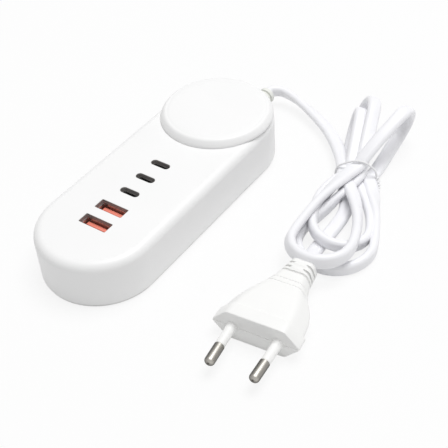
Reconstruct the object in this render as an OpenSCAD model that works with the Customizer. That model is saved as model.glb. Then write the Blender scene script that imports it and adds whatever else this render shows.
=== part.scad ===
// Desktop charger with two large and three small charging sockets, a round
// charging pad, and a flat two-core mains lead bundled with a wire tie.
// Frame: millimetres, +Z up, origin under the middle of the body on the table,
// +Y along the body towards the pad and the lead.

/* [Body] */
// Width of the body across its straight sides
body_w = 49.6; // [46:0.2:60]
// Length of the body over both round ends
body_l = 130.8; // [128:0.2:160]
// Height of the top face above the table
body_h = 22; // [21:0.5:30]
// Radius of the round edge of the top face
top_edge_r = 3.6; // [2.6:0.1:5]
// Thickness of the moulded walls
wall = 2; // [1.6:0.1:2.6]

/* [Base] */
// Thickness of the base cover
base_t = 2; // [1.8:0.1:3]
// Height of the base rim that shows below the housing
base_rim_h = 1.2; // [0.8:0.1:1.6]
// How far the base rim stands back from the wall above it
base_setback = 0.5; // [0.2:0.1:1]
// Clearance between the base cover and the inside of the wall
base_fit = 0.15; // [0.05:0.05:0.3]
// Diameter of each foot
foot_d = 9; // [6:0.5:10]
// How far the feet stand out below the base
foot_out = 0.6; // [0.4:0.1:1]
// How deep the feet are let into the base
foot_sink = 0.6; // [0.4:0.1:0.8]

/* [Screws] */
// Shank diameter of the housing screws
screw_d = 2.2; // [1.8:0.1:2.6]
// Head diameter of the housing screws
screw_head_d = 4.2; // [3.6:0.1:4.8]
// Head height of the housing screws
screw_head_h = 1.1; // [0.8:0.1:1.2]
// How far the screws reach above the base cover
screw_reach = 8; // [5:0.5:11]
// Diameter of the screw bosses
boss_d = 6; // [5.2:0.2:7]
// Clearance round a screw
screw_gap = 0.05; // [0.02:0.01:0.1]

/* [Pad] */
// How far the round pad stands back from the end of the body
pad_setback = 0.3; // [0.1:0.1:2]
// Height of the pad above the top face
pad_h = 3.6; // [3.4:0.1:5]
// Radius of the round edge of the pad
pad_edge_r = 1.6; // [0.8:0.1:2]
// Thickness of the pad's top
pad_skin = 1.6; // [1.2:0.1:1.7]
// Width of the rim that stands on the top face
pad_rim = 3; // [2.4:0.1:4]
// Depth of the round pocket below the pad
pocket_depth = 0.9; // [0.7:0.1:1.1]
// Distance of the fine ring line from the pad's edge
ring_inset = 2.6; // [2.2:0.1:5]
// Width of the fine ring line
ring_w = 0.3; // [0.2:0.05:0.6]
// Depth of the fine ring line
ring_depth = 0.25; // [0.1:0.05:0.4]

/* [Charging coil] */
// Wire diameter of the charging coil
coil_wire = 1.2; // [1:0.1:1.3]
// Number of turns in the charging coil
coil_turns = 9; // [5:1:11]
// Thickness of the ferrite plate
ferrite_t = 0.8; // [0.6:0.1:0.8]
// Diameter of the two coil leads
coil_lead_d = 1; // [0.6:0.1:1.2]

/* [Sockets] */
// Distance of the first large socket from the front end of the body
first_socket_inset = 24.4; // [22:0.1:28]
// Distance between the two large sockets
large_pitch = 9.7; // [9:0.1:12]
// Distance from the large sockets to the small ones
group_gap = 11.4; // [9:0.1:14]
// Distance between the small sockets
small_pitch = 10.1; // [8:0.1:12]
// Sheet thickness of the socket shells
shell_t = 0.3; // [0.2:0.05:0.35]
// Width of the large shell's opening
large_w = 12.5; // [12.4:0.05:12.6]
// Depth of the large shell's opening
large_d = 5.12; // [5:0.02:5.2]
// How much wider the housing's cut-out is than the large opening
large_margin_w = 0.8; // [0.2:0.1:1]
// How much deeper the housing's cut-out is than the large opening
large_margin_d = 0.2; // [0:0.05:0.3]
// Width of the contact tongue in a large socket
tongue_w = 11.1; // [10.8:0.1:11.3]
// Thickness of the contact tongue in a large socket
tongue_t = 1.84; // [1.7:0.02:2]
// Gap in front of the contact tongue
tongue_gap = 0.7; // [0.5:0.05:0.8]
// Depth of the contact tongue below the mouth of its shell
tongue_drop = 1.2; // [0.8:0.1:3]
// Width of one contact strip
contact_w = 1; // [0.8:0.1:1.2]
// Thickness of one contact strip
contact_t = 0.2; // [0.15:0.05:0.3]
// Width of the small shell's opening
small_w = 8.34; // [8.2:0.02:8.5]
// Depth of the small shell's opening
small_d = 2.56; // [2.5:0.02:2.6]
// How much wider the housing's cut-out is than the small opening
small_margin = 0.8; // [0.6:0.1:1]
// Width of the blade in a small socket
blade_w = 6.7; // [6.5:0.05:6.8]
// Thickness of the blade in a small socket
blade_t = 0.7; // [0.6:0.05:0.8]
// Depth of the blade below the mouth of its shell
blade_drop = 0.9; // [0.6:0.1:2]

/* [Boards] */
// Thickness of the circuit boards
board_t = 1.6; // [1.2:0.1:1.8]
// Gap between a board's long edge and the wall
board_gap = 3.8; // [3:0.1:5]
// Length of the power board
power_board_l = 41; // [37:0.5:46]
// Gap between the two boards
boards_gap = 2; // [1:0.2:4]
// Distance of a board's outer end from the end of the body
board_inset = 15.4; // [14.4:0.2:17]
// Height of the posts under the boards
post_h = 1.6; // [1.2:0.1:2]
// Diameter of the posts under the boards
post_d = 5; // [4:0.2:6]
// Diameter of the pins that locate the boards
post_pin_d = 1.8; // [1.4:0.1:2]
// Clearance of the locating pins
pin_gap = 0.1; // [0.05:0.05:0.2]

/* [Power parts] */
// Length of the transformer core
core_l = 20; // [18:0.5:22]
// Depth of the transformer core
core_d = 7; // [6:0.5:8]
// Height of the transformer core
core_h = 11; // [9:0.5:13]
// Width of the core's middle leg
core_leg = 5; // [4:0.2:6]
// Width of the core's outer legs and yokes
core_side = 2.6; // [2:0.1:3]
// How far the winding stands out of the core
winding_out = 4.5; // [3:0.5:5.5]
// Diameter of the input capacitors
input_cap_d = 8; // [6:0.5:9]
// Height of the input capacitors
input_cap_h = 11; // [8:0.5:13]
// Diameter of the output capacitors
output_cap_d = 6.3; // [5:0.1:7]
// Height of the output capacitors
output_cap_h = 10; // [8:0.5:13]
// Diameter of the fuse
fuse_d = 3.6; // [3:0.1:4.5]
// Length of the fuse
fuse_l = 10; // [8:0.5:11]
// Width of the heat sink
sink_w = 14; // [12:0.5:14.5]
// Height of the heat sink
sink_h = 10.5; // [9:0.5:12.5]
// Thickness of the heat sink's plate
sink_t = 1.5; // [1:0.1:2]
// Length of the heat sink's fins
fin_l = 3; // [2:0.2:4]

/* [Gland] */
// Height of the lead's outlet above the table
gland_z = 8; // [7.5:0.1:9]
// Diameter of the gland's sleeve
gland_d = 7.6; // [7.2:0.1:8.4]
// Diameter of the gland's neck in the wall
gland_neck_d = 6.6; // [6.2:0.1:7]
// Length of the gland outside the body
gland_out = 15; // [14:0.1:16]
// Clearance of the gland's neck in the wall
gland_gap = 0.1; // [0.05:0.05:0.2]

/* [Lead] */
// Width of the flat lead
cord_w = 6; // [5.2:0.1:6.4]
// Thickness of the flat lead
cord_t = 3.6; // [3.2:0.1:4]
// Height of the folded turns below the tie
lower_turns_h = 12; // [10:0.5:14]
// Height of the folded turns above the tie
upper_turns_h = 20; // [16:0.5:22]
// Wire diameter of the tie
tie_wire = 1.2; // [0.8:0.1:1.6]

/* [Plug] */
// Width of the plug's face
plug_w = 35.3; // [34.8:0.1:36]
// Thickness of the plug's face
plug_t = 13.7; // [13.2:0.1:14]
// Width of the flat on the plug's face
plug_flat = 22.8; // [20:0.2:26]
// Length of the plug's body from its face to the end of its neck
plug_l = 38; // [36:0.5:44]
// Length of the plug's front flange
flange_l = 5.6; // [4.6:0.1:6]
// Width of the plug's neck
neck_w = 12; // [11:0.2:13]
// Thickness of the plug's neck
neck_t = 10; // [9:0.2:11]
// Length of the plug's neck
neck_l = 9; // [7:0.5:10]
// Distance between the pins at the plug's face
pin_spacing = 18.6; // [18:0.1:19.2]
// Distance between the pins at their tips
pin_tip_spacing = 17.5; // [17:0.1:18.6]
// Length of the pins in front of the plug's face
pin_l = 19; // [18:0.5:19.5]
// Length of the bare metal at the end of each pin
pin_bare_l = 9; // [8:0.5:10]
// Diameter of the bare metal
pin_d = 4; // [3.9:0.02:4.1]
// Diameter of the insulating sleeve behind the bare metal
sleeve_d = 3.5; // [3.3:0.05:3.6]
// Depth to which the pins are set into the plug
pin_root = 8; // [6:0.5:10]

/* [Hidden] */

eps = 0.01;
round_fn = 96;
small_fn = 32;

// Body
body_r = body_w / 2;
arc_y = body_l / 2 - body_r;
base_z = foot_out;
base_top = base_z + base_t;
seam_z = base_z + base_rim_h;
inner_r = body_r - wall;
inner_edge_r = max(0.6, top_edge_r - wall);
ceiling_z = body_h - wall;

// Boards
board_z = base_top + post_h;
board_top = board_z + board_t;
socket_h = ceiling_z - board_top;
board_w = 2 * (inner_r - board_gap);
socket_board_l = body_l - 2 * board_inset - power_board_l - boards_gap;
socket_board_y = -body_l / 2 + board_inset + socket_board_l / 2;
power_board_y = body_l / 2 - board_inset - power_board_l / 2;
part_inset = 0.5;
post_inset = post_d / 2 + 0.6;

// Power parts: across from the middle of the power board or from one long edge, and back from
// its outer end
choke_ring_r = 3;
choke_wire_r = 1.9;
disc_d = 7;
bridge = [4.6, 6, 2.4];
bridge_y = -11.4;
fuse_end_y = -3.2;
part_gap = 0.6;
left_edge = -board_w / 2 + part_inset;
right_edge = board_w / 2 - part_inset;
core_at = [left_edge + core_l / 2, -24];
input_cap_at = [[right_edge - 3.5 - input_cap_d / 2, -15.5], [right_edge - 3.5 - input_cap_d / 2, -6.3]];
sink_at = [right_edge - sink_w / 2, -31.5];
choke_at = [left_edge + 2.6 + choke_ring_r + choke_wire_r, -7];
choke_end = choke_at[0] + choke_ring_r + choke_wire_r;
fuse_at = [choke_end + part_gap + fuse_d / 2, fuse_end_y - fuse_l / 2];
bridge_at = [fuse_at[0] + fuse_d / 2 + part_gap + bridge[0] / 2, bridge_y];
safety_cap_at = [right_edge - 1.5 - disc_d / 2, -23.8];

// Screws and feet, each one a quarter turn from the next
boss_reach = (inner_r - boss_d / 2 + 0.5) * cos(45);
boss_x = boss_reach;
boss_y = arc_y + boss_reach;
foot_x = 12;
foot_y = arc_y + 1.4;
quarters = [[-1, -1], [1, -1], [-1, 1], [1, 1]];

// Pad
pad_r = body_r - pad_setback;
pad_y = arc_y;
pad_inner_r = pad_r - pad_rim;
pad_top = body_h + pad_h;
spigot_t = 0.7;
spigot_gap = 0.2;
pocket_floor = body_h - pocket_depth;
coil_z = pocket_floor + ferrite_t;
coil_pitch = coil_wire - 0.05;
coil_r = pad_inner_r - spigot_t - 0.8 - coil_wire / 2;
ferrite_r = coil_r - coil_wire / 2 - coil_lead_d / 2;
coil_lead_y = pad_y - coil_r;
core_end = core_at[0] + core_l / 2;
coil_lead_x = [core_end + 0.8, core_end + 2.2];
lead_slot_x = coil_lead_x[0] - coil_lead_d / 2 - 0.5;
lead_slot_w = coil_lead_x[1] - coil_lead_x[0] + coil_lead_d + 1;
lead_slot_d = coil_lead_d + 0.6;

// Sockets, numbered from the front
large_y = [for (i = [0, 1]) -body_l / 2 + first_socket_inset + i * large_pitch];
small_y = [for (i = [0 : 2]) large_y[1] + group_gap + i * small_pitch];
socket_root = 3;

// Lead outlet
gland_y = body_l / 2;
gland_inner_y = arc_y + sqrt(pow(inner_r, 2) - pow(gland_d / 2 + 0.6, 2)) - 0.05;

// Lead, bundle and plug are placed from the end of the gland on the table
outlet_y = gland_y + gland_out;

// Bundle: the tie stands at its origin, with +Y towards the upper turns
tie_at = [62, -27, 0];
bundle_turn = 20.6;
tie_left = -9.4;
tie_right = 8;
tie_h = 10.8;
lead_at_tie = tie_left + cord_w / 2;
shoulder = -7;
waist_gap = 0.1;
waist_from = shoulder - 2;
waist_to = 10;
lower_start = [-1, -13, 10];
lower_end = [-3.5, -40, 15];
upper_ends = [[-4, 34, 4.5], [4, 36, 4.5], [18, 40, 4.5]];

// Plug: the end of its neck is at its origin, with +Y towards the lead
plug_at = [71.4, -88, plug_t / 2];
plug_turn = 6.5;
pin_lean = atan((pin_spacing - pin_tip_spacing) / 2 / pin_l);
sleeve_bore = 3;
sleeve_gap = 0.05;
// Cuts in the plug's neck: distance from its end, width and depth
neck_cuts = [[6.2, 0.9, 0.9], [10.8, 0.4, 0.3], [13.3, 0.4, 0.3]];
// Distance along the flange, then width, thickness and top flat as shares of the face
flange_shape = [
    [0, 1, 1, 1], [0.4, 1.012, 1, 1.01], [1, 1.015, 1, 1.01]
];
// The same along the taper
taper_shape = [
    [0.04, 0.945, 0.945, 0.965], [0.19, 0.935, 0.94, 0.95], [0.33, 0.89, 0.93, 0.9],
    [0.46, 0.82, 0.915, 0.83], [0.64, 0.68, 0.885, 0.7], [0.82, 0.53, 0.85, 0.56]
];

// Routes of the lead: x, y, z and the turn of its flat side
function turned(at, turn, x, y) = [
    at[0] + x * cos(turn) - y * sin(turn),
    at[1] + x * sin(turn) + y * cos(turn)
];
lead_route = concat(
    [
        [0, 0, gland_z, 90], [0, 4, gland_z, 90], [4, 8.5, 7.4, 90], [11, 9.5, 6.4, 86],
        [19, 6.5, 5.4, 76], [27, 1.5, 4.6, 62], [35, -5, 4, 46], [42.5, -12.5, 3.8, 30],
        [49, -20, 4, 14]
    ],
    [
        for (y = [-shoulder, 0, shoulder])
            concat(turned(tie_at, bundle_turn, lead_at_tie, y), [4.6, 0])
    ]
);
tail_route = concat(
    [[70.9, -81.2, 5.9, 18], [71, -83.4, 6.4, 8]],
    [
        for (y = [2.4, 0])
            concat(turned(plug_at, plug_turn, 0, y), [plug_at[2], 0])
    ]
);
cord_sides = 12;
ring_step = 6;

// Shapes used by several parts

// A body with straight sides and round ends, from a half profile of radius and height
module racetrack(straight) {
    for (side = [-1, 1])
        translate([0, side * straight / 2, 0])
            rotate_extrude($fn = round_fn) children();
    rotate([90, 0, 0]) linear_extrude(straight, center = true) {
        children();
        mirror([1, 0]) children();
    }
}

// Half profile of a block with a round upper edge
module rounded_half(r, z0, z1, edge) {
    translate([0, z0]) square([r - edge, z1 - z0]);
    translate([0, z0]) square([r, z1 - edge - z0]);
    intersection() {
        translate([r - edge, z1 - edge]) circle(edge, $fn = small_fn);
        translate([0, z0]) square([r, z1 - z0]);
    }
}

// Half profile of a plain block
module plain_half(r, z0, z1) {
    translate([0, z0]) square([r, z1 - z0]);
}

module rounded_rect(w, d, r) {
    square([w - 2 * r, d], center = true);
    square([w, d - 2 * r], center = true);
    for (x = [-1, 1], y = [-1, 1])
        translate([x * (w / 2 - r), y * (d / 2 - r)]) circle(r, $fn = small_fn);
}

module slot_shape(w, d) {
    square([w - d, d], center = true);
    for (x = [-1, 1]) translate([x * (w - d) / 2, 0]) circle(d = d, $fn = small_fn);
}

// Outline around two circles, each given as x, y and radius
module taper_outline(a, b) {
    run = [b[0] - a[0], b[1] - a[1]];
    dist = norm(run);
    turn = atan2(run[1], run[0]);
    lean = acos((a[2] - b[2]) / dist);
    translate([a[0], a[1]]) circle(a[2], $fn = round_fn);
    translate([b[0], b[1]]) circle(b[2], $fn = round_fn);
    polygon([
        for (side = [-1, 1])
            let (way = turn + side * lean)
            [a[0] + a[2] * cos(way), a[1] + a[2] * sin(way)],
        for (side = [1, -1])
            let (way = turn + side * lean)
            [b[0] + b[2] * cos(way), b[1] + b[2] * sin(way)]
    ]);
}

module at_quarters(x, y) {
    for (q = quarters) translate([q[0] * x, q[1] * y, 0]) children();
}

// Places of the four posts under one board
function post_places(mid_y, length) = [
    for (q = quarters)
        [q[0] * (board_w / 2 - post_inset), mid_y + q[1] * (length / 2 - post_inset)]
];
all_posts = concat(
    post_places(socket_board_y, socket_board_l),
    post_places(power_board_y, power_board_l)
);

// Housing

module upper_housing() {
    color("white") difference() {
        union() {
            difference() {
                racetrack(2 * arc_y) rounded_half(body_r, seam_z, body_h, top_edge_r);
                racetrack(2 * arc_y)
                    rounded_half(inner_r, seam_z - 1, ceiling_z, inner_edge_r);
            }
            at_quarters(boss_x, boss_y)
                translate([0, 0, base_top])
                    cylinder(d = boss_d, h = ceiling_z - base_top + wall / 2, $fn = 48);
        }
        at_quarters(boss_x, boss_y)
            translate([0, 0, base_top - 1])
                cylinder(d = screw_d + 2 * screw_gap, h = screw_reach + 1.5, $fn = 48);
        for (y = large_y)
            translate([0, y, ceiling_z - 1]) linear_extrude(wall + 2)
                rounded_rect(large_w + large_margin_w, large_d + large_margin_d, 0.5);
        for (y = small_y)
            translate([0, y, ceiling_z - 1]) linear_extrude(wall + 2)
                slot_shape(small_w + small_margin, small_d + small_margin);
        translate([0, pad_y, pocket_floor])
            cylinder(r = pad_inner_r + spigot_gap, h = pocket_depth + 1, $fn = round_fn);
        translate([lead_slot_x, coil_lead_y - lead_slot_d / 2, ceiling_z - 1])
            cube([lead_slot_w, lead_slot_d, wall + 1]);
        translate([0, gland_y - wall - 3, gland_z]) rotate([-90, 0, 0])
            cylinder(d = gland_neck_d + 2 * gland_gap, h = wall + 6, $fn = 48);
    }
}

module base_cover() {
    color("gainsboro") difference() {
        union() {
            racetrack(2 * arc_y) plain_half(body_r - base_setback, base_z, seam_z);
            racetrack(2 * arc_y) plain_half(inner_r - base_fit, base_z, base_top);
            for (p = all_posts) {
                translate([p[0], p[1], base_top - 0.5])
                    cylinder(d = post_d, h = board_z - base_top + 0.5, $fn = small_fn);
                translate([p[0], p[1], board_z - 0.5])
                    cylinder(d = post_pin_d, h = board_t + 1, $fn = small_fn);
            }
        }
        at_quarters(boss_x, boss_y) {
            translate([0, 0, base_z - 1])
                cylinder(d = screw_d + 2 * screw_gap, h = base_t + 2, $fn = 48);
            translate([0, 0, base_z - 1])
                cylinder(d = screw_head_d + 0.3, h = screw_head_h + 1.1, $fn = 48);
        }
        at_quarters(foot_x, foot_y)
            translate([0, 0, base_z - 1])
                cylinder(d = foot_d + 0.1, h = foot_sink + 1, $fn = 48);
    }
}

module housing_screws() {
    color("silver") at_quarters(boss_x, boss_y)
        translate([0, 0, base_z + 0.1]) difference() {
            union() {
                cylinder(d = screw_head_d, h = screw_head_h, $fn = 48);
                cylinder(d = screw_d, h = base_t + screw_reach - 0.1, $fn = 48);
            }
            for (turn = [0, 90])
                rotate(turn) cube([screw_head_d * 0.6, 0.5, 1.2], center = true);
        }
}

module foot(q) {
    color("darkgray") translate([q[0] * foot_x, q[1] * foot_y, 0])
        cylinder(d = foot_d, h = foot_out + foot_sink, $fn = 48);
}

// Charging pad

module pad_cap() {
    color("white") translate([0, pad_y, 0]) rotate_extrude($fn = round_fn) difference() {
        union() {
            rounded_half(pad_r, body_h, pad_top, pad_edge_r);
            translate([pad_inner_r - spigot_t, pocket_floor + 0.1])
                square([spigot_t, pocket_depth]);
        }
        plain_half(pad_inner_r - spigot_t, pocket_floor - 1, pad_top - pad_skin);
        translate([pad_r - ring_inset - ring_w, pad_top - ring_depth])
            square([ring_w, ring_depth + 1]);
    }
}

module charging_coil() {
    color("peru") translate([0, pad_y, coil_z + coil_wire / 2])
        rotate_extrude($fn = round_fn)
            for (i = [0 : coil_turns - 1])
                translate([coil_r - i * coil_pitch, 0]) circle(d = coil_wire, $fn = small_fn);
}

module ferrite_plate() {
    color("dimgray") translate([0, pad_y, pocket_floor])
        cylinder(r = ferrite_r, h = ferrite_t, $fn = round_fn);
}

module coil_leads() {
    color("peru") for (x = coil_lead_x)
        translate([x, coil_lead_y, board_top])
            cylinder(d = coil_lead_d, h = coil_z - board_top - 0.05, $fn = small_fn);
}

// Boards

module board(mid_y, length) {
    translate([0, mid_y, board_z]) difference() {
        translate([-board_w / 2, -length / 2, 0]) cube([board_w, length, board_t]);
        for (p = post_places(0, length))
            translate([p[0], p[1], -1])
                cylinder(d = post_pin_d + 2 * pin_gap, h = board_t + 2, $fn = small_fn);
    }
}

module socket_board() {
    color("seagreen") board(socket_board_y, socket_board_l);
}

module power_board() {
    color("seagreen") board(power_board_y, power_board_l);
}

// A row of pins beside the last small socket that joins the two boards
module board_link() {
    first = small_w / 2 + shell_t + 1;
    near = socket_board_y + socket_board_l / 2 - 1.5;
    far = power_board_y - power_board_l / 2 + 1.5;
    color("gold") for (i = [0 : 4])
        translate([first + i * 2.54, near, board_top])
            cube([0.64, far - near, 0.64]);
}

// Sockets

module large_shell(y) {
    slot_l = 5;
    color("silver") translate([0, y, board_top]) difference() {
        linear_extrude(socket_h) difference() {
            rounded_rect(large_w + 2 * shell_t, large_d + 2 * shell_t, 0.6);
            rounded_rect(large_w, large_d, 0.3);
        }
        for (x = [-1, 1], side = [-1, 1])
            translate([x * large_w / 4 - 1, side * (large_d / 2 + shell_t / 2) - 1, 5])
                cube([2, 2, slot_l]);
    }
}

module large_tongue(y) {
    root_gap = 0.1;
    color("orangered") translate([0, y, board_top]) {
        translate([-large_w / 2 + root_gap, -large_d / 2 + root_gap, 0])
            cube([large_w - 2 * root_gap, large_d - 2 * root_gap, socket_root]);
        translate([-tongue_w / 2, -large_d / 2 + tongue_gap, socket_root - 1])
            cube([tongue_w, tongue_t, socket_h - tongue_drop - socket_root + 1]);
    }
}

module large_contacts(y) {
    contact_pitch = 2.3;
    contact_drop = 1;
    color("gold") for (i = [-1.5 : 1.5])
        translate([
            i * contact_pitch - contact_w / 2,
            y - large_d / 2 + tongue_gap + tongue_t,
            board_top + socket_root
        ])
            cube([contact_w, contact_t, socket_h - tongue_drop - contact_drop - socket_root]);
}

module small_shell(y) {
    color("silver") translate([0, y, board_top]) linear_extrude(socket_h) difference() {
        slot_shape(small_w + 2 * shell_t, small_d + 2 * shell_t);
        slot_shape(small_w, small_d);
    }
}

module small_blade(y) {
    root_gap = 0.1;
    root_h = socket_h - 6.5;
    color("dimgray") translate([0, y, board_top]) {
        linear_extrude(root_h) slot_shape(small_w - 2 * root_gap, small_d - 2 * root_gap);
        translate([-blade_w / 2, -blade_t / 2, root_h - 1])
            cube([blade_w, blade_t, socket_h - blade_drop - root_h + 1]);
    }
}

// Power parts

module on_power_board(p) {
    translate([p[0], power_board_y + power_board_l / 2 + p[1], board_top]) children();
}

module transformer_core() {
    window_w = (core_l - core_leg) / 2 - core_side;
    color("dimgray") on_power_board(core_at) difference() {
        translate([-core_l / 2, -core_d / 2, 0]) cube([core_l, core_d, core_h]);
        for (side = [-1, 1])
            translate([
                side * (core_leg + window_w) / 2 - window_w / 2,
                -core_d / 2 - 1,
                core_side
            ])
                cube([window_w, core_d + 2, core_h - 2 * core_side]);
    }
}

module transformer_winding() {
    gap = 0.1;
    outer_w = core_l - 2 * core_side - 2 * gap;
    color("goldenrod") on_power_board(core_at)
        translate([0, 0, core_side])
            linear_extrude(core_h - 2 * core_side - gap) difference() {
                rounded_rect(outer_w, core_d + 2 * winding_out, 2.5);
                square([core_leg + 2 * gap, core_d + 2 * gap], center = true);
            }
}

// An upright can with a rolled groove near its foot
module capacitor(d, h) {
    groove = 0.4;
    rotate_extrude($fn = 48) difference() {
        rounded_half(d / 2, 0, h, 0.6);
        translate([d / 2, 1.6]) circle(groove, $fn = small_fn);
    }
}

module input_capacitor(i) {
    color("midnightblue") on_power_board(input_cap_at[i]) capacitor(input_cap_d, input_cap_h);
}

module output_capacitor(side) {
    color("midnightblue")
        translate([side * (right_edge - output_cap_d / 2 - part_inset), small_y[0], board_top])
            capacitor(output_cap_d, output_cap_h);
}

module bridge_rectifier() {
    color("dimgray") on_power_board(bridge_at)
        translate([-bridge[0] / 2, -bridge[1] / 2, 0]) cube(bridge);
}

module mains_fuse() {
    cap_l = 2;
    color("lightgray") on_power_board(fuse_at)
        translate([0, 0, fuse_d / 2]) rotate([90, 0, 0]) {
            cylinder(d = fuse_d - 0.4, h = fuse_l, center = true, $fn = small_fn);
            for (side = [-1, 1])
                translate([0, 0, side * (fuse_l - cap_l) / 2])
                    cylinder(d = fuse_d, h = cap_l, center = true, $fn = small_fn);
        }
}

module line_choke() {
    color("darkgoldenrod") on_power_board(choke_at)
        translate([0, 0, choke_wire_r]) rotate_extrude($fn = 48)
            translate([choke_ring_r, 0]) circle(choke_wire_r, $fn = small_fn);
}

module safety_capacitor() {
    disc_t = 3;
    color("steelblue") on_power_board(safety_cap_at)
        translate([0, 0, disc_d / 2]) rotate([90, 0, 0])
            cylinder(d = disc_d, h = disc_t, center = true, $fn = 48);
}

module heat_sink() {
    fins = 4;
    fin_t = 1;
    color("silver") on_power_board(sink_at) {
        translate([-sink_w / 2, 0, 0]) cube([sink_w, sink_t, sink_h]);
        for (i = [0 : fins - 1])
            translate([-sink_w / 2 + i * (sink_w - fin_t) / (fins - 1), -fin_l, 0])
                cube([fin_t, fin_l + 0.5, sink_h]);
    }
}

module power_transistor() {
    case = [10, 4.4, 8.5];
    color("dimgray") on_power_board(sink_at)
        translate([sink_w / 2 - case[0], sink_t, 0]) cube(case);
}

// Parts on the socket board

module charge_controller() {
    chip = [5, 4, 1.5];
    color("dimgray")
        translate([left_edge + 2, large_y[1] - chip[1] / 2, board_top]) cube(chip);
}

module storage_choke() {
    choke = [7, 7, 3.2];
    color("dimgray") translate([right_edge - 1.5 - choke[0] / 2, large_y[1], board_top])
        linear_extrude(choke[2]) rounded_rect(choke[0], choke[1], 1.2);
}

// Two insulated cores from the gland down to the power board
module mains_wires() {
    wire_d = 1.6;
    wire_y = power_board_y + power_board_l / 2 - 2;
    color("sienna") for (side = [-1, 1])
        translate([side * 1.4, 0, 0]) {
            translate([0, wire_y, gland_z]) rotate([-90, 0, 0])
                cylinder(d = wire_d, h = gland_inner_y - 1.8 - wire_y, $fn = small_fn);
            translate([0, wire_y, gland_z]) sphere(d = wire_d, $fn = small_fn);
            translate([0, wire_y, board_top])
                cylinder(d = wire_d, h = gland_z - board_top, $fn = small_fn);
        }
}

// Lead

module cord_gland() {
    flange_t = 1.8;
    flange_r = gland_d / 2 + 0.6;
    groove = 0.8;
    inner = gland_inner_y - gland_y;
    color("ivory") translate([0, gland_y, gland_z]) rotate([-90, 0, 0])
        rotate_extrude($fn = 64) difference() {
            union() {
                translate([0, inner - flange_t]) square([flange_r, flange_t]);
                translate([0, inner - 0.5]) square([gland_neck_d / 2, 1 - inner]);
                square([gland_d / 2, gland_out]);
            }
            for (i = [0 : 2])
                translate([gland_d / 2 - 0.5, gland_out - 2.8 - i * 3.2])
                    square([1, groove]);
        }
}

// Smooth curve through a list of points: four neighbours and a share of the way
function spline(p0, p1, p2, p3, t) =
    0.5 * (2 * p1 + (p2 - p0) * t + (2 * p0 - 5 * p1 + 4 * p2 - p3) * t * t
        + (3 * p1 - p0 - 3 * p2 + p3) * t * t * t);

function route_rings(route) =
    let (n = len(route))
    concat([
        for (i = [0 : n - 2])
            let (
                p0 = route[max(i - 1, 0)], p1 = route[i], p2 = route[i + 1],
                p3 = route[min(i + 2, n - 1)],
                steps = max(1, round(norm(p2 - p1) / ring_step))
            )
            for (k = [0 : steps - 1])
                spline(p0, p1, p2, p3, k / steps)
    ], [route[n - 1]]);

function place(p) = [p[0], p[1], p[2]];
function unit(v) = v / norm(v);

// Ring of a flat cord at p, across the direction way, its flat side turned by p[3]
function ring_points(p, way) =
    let (
        level = unit(cross(way, [0, 0, 1])),
        up = cross(level, way),
        wide = level * cos(p[3]) + up * sin(p[3]),
        thin = cross(way, wide)
    )
    [
        for (k = [0 : cord_sides - 1])
            let (a = 360 * (k + 0.5) / cord_sides)
            place(p)
                + wide * (cord_t / 2 * cos(a) + sign(cos(a)) * (cord_w - cord_t) / 2)
                + thin * (cord_t / 2 * sin(a))
    ];

module flat_cord(route) {
    rings = route_rings(route);
    n = len(rings);
    ways = [
        for (i = [0 : n - 1])
            unit(place(rings[min(i + 1, n - 1)]) - place(rings[max(i - 1, 0)]))
    ];
    points = [for (i = [0 : n - 1]) each ring_points(rings[i], ways[i])];
    sides = [
        for (i = [0 : n - 2], k = [0 : cord_sides - 1])
            let (
                a = i * cord_sides + k,
                b = i * cord_sides + (k + 1) % cord_sides
            )
            each [[a, b, a + cord_sides], [b, b + cord_sides, a + cord_sides]]
    ];
    ends = [
        [for (k = [cord_sides - 1 : -1 : 0]) k],
        [for (k = [0 : cord_sides - 1]) (n - 1) * cord_sides + k]
    ];
    polyhedron(points, concat(sides, ends));
}

module at_outlet() {
    translate([0, outlet_y, 0]) children();
}

module cord_lead() {
    color("white") at_outlet() flat_cord(lead_route);
}

module cord_tail() {
    color("white") at_outlet() flat_cord(tail_route);
}

module in_bundle() {
    at_outlet() translate(tie_at) rotate(bundle_turn) children();
}

module cord_hank() {
    waist_left = lead_at_tie + cord_w / 2 + waist_gap;
    color("white") in_bundle() {
        linear_extrude(lower_turns_h) difference() {
            taper_outline(lower_start, lower_end);
            translate([-2 * lower_end[2], shoulder])
                square([4 * lower_end[2], lower_start[2]]);
        }
        linear_extrude(upper_turns_h)
            for (far = upper_ends)
                taper_outline([far[0] / 4 + 1.6, 8, 4], far);
        translate([waist_left, waist_from, tie_wire + waist_gap])
            cube([tie_right - waist_left, waist_to - waist_from, tie_h - tie_wire - waist_gap]);
    }
}

module cord_tie() {
    left = tie_left - waist_gap;
    right = tie_right + waist_gap;
    color("white") in_bundle() {
        difference() {
            translate([left - tie_wire, -tie_wire / 2, 0])
                cube([right - left + 2 * tie_wire, tie_wire, tie_h + waist_gap + tie_wire]);
            translate([left, -tie_wire, tie_wire])
                cube([right - left, 2 * tie_wire, tie_h + waist_gap - tie_wire]);
        }
        translate([right + tie_wire - eps, 0, 1.4]) rotate([0, 90, 0])
            cylinder(r = 1.3, h = 2.4, $fn = small_fn);
        translate([right + tie_wire + 1.4, 0, 1]) rotate([90, 0, 0])
            cylinder(r = 0.6, h = 6, $fn = small_fn);
    }
}

// Plug

module in_plug() {
    at_outlet() translate(plug_at) rotate(plug_turn) children();
}

// One corner of a section, rounded off between its neighbours
function round_corner(before, at, after, cut) =
    let (
        a = at + unit(before - at) * cut,
        b = at + unit(after - at) * cut
    )
    [for (t = [0, 0.5, 1]) a * pow(1 - t, 2) + at * 2 * t * (1 - t) + b * t * t];

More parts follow.
